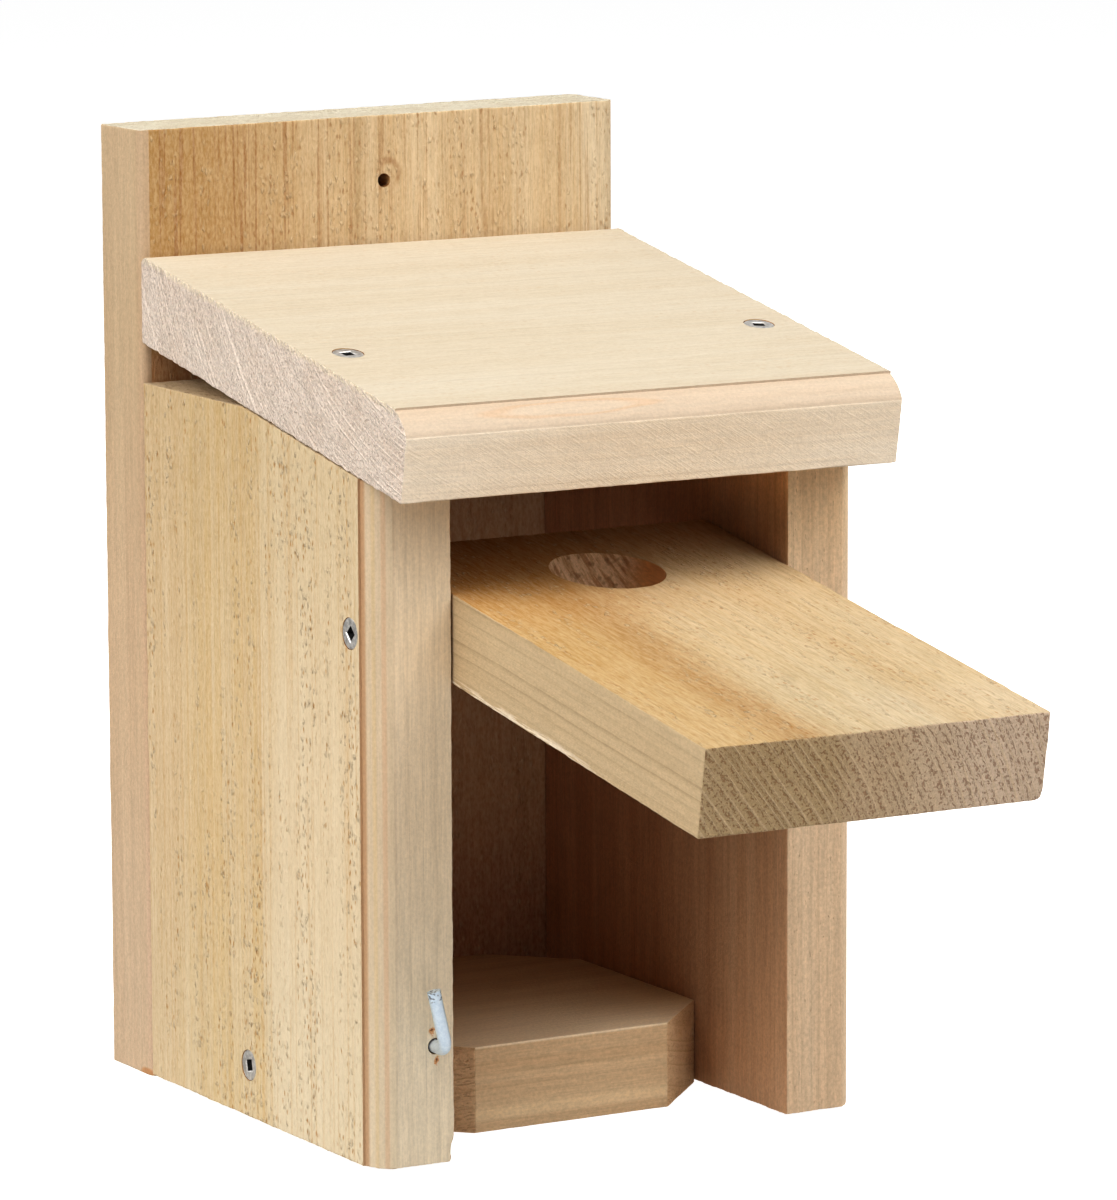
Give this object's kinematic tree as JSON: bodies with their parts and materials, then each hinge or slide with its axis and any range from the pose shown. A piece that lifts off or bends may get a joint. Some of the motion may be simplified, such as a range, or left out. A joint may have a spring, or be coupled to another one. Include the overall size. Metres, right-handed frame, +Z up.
{
  "type": "birdhouse",
  "caption": "Small cedar nest box with a tall back board for hanging, a sloping roof and a front with a round entrance that tilts out on two screws and is held shut by a wire hook.",
  "frame": {"origin": "on the plane that the box stands on, under the middle of its bounding box with the front tilted out as pictured", "axes": "+Z up; -Y towards the front, where the entrance and the tilting front are; +X to the right as seen from the front, along the hinge of the front"},
  "size_m": [0.14, 0.2632, 0.247],
  "materials": {
    "cedar_back": "rough-sawn golden brown cedar with dark streaks",
    "cedar_sides": "rough-sawn pale tan cedar, planed front edges",
    "cedar_roof": "smooth cream cedar",
    "cedar_floor": "smooth brown cedar",
    "cedar_front": "rough-sawn golden brown cedar, planed edges",
    "screw_steel": "dull stainless steel",
    "zinc_wire": "bright zinc plate"
  },
  "bodies": {
    "box": {"back_board": "cedar_back", "left_side": "cedar_sides", "right_side": "cedar_sides", "roof": "cedar_roof", "floor": "cedar_floor", "floor_screw_left": "screw_steel", "floor_screw_right": "screw_steel", "roof_screw_left": "screw_steel", "roof_screw_right": "screw_steel", "back_screw_lower_left": "screw_steel", "back_screw_upper_left": "screw_steel", "back_screw_lower_right": "screw_steel", "back_screw_upper_right": "screw_steel", "back_screw_floor": "screw_steel"},
    "front": {"front_door": "cedar_front", "pivot_screw_left": "screw_steel", "pivot_screw_right": "screw_steel"},
    "latch": {"latch_hook": "zinc_wire"}
  },
  "joints": [
    {"name": "front_pivot", "type": "hinge", "parent": "box", "child": "front", "pos_m": [0, -0.00222, 0.1322], "axis": [1, 0, 0], "range_deg": [-45, 80.6]},
    {"name": "latch_turn", "type": "hinge", "parent": "box", "child": "latch", "pos_m": [-0.05315, -0.01342, 0.0302], "axis": [0, 1, 0], "range_deg": [-30, 103]}
  ]
}
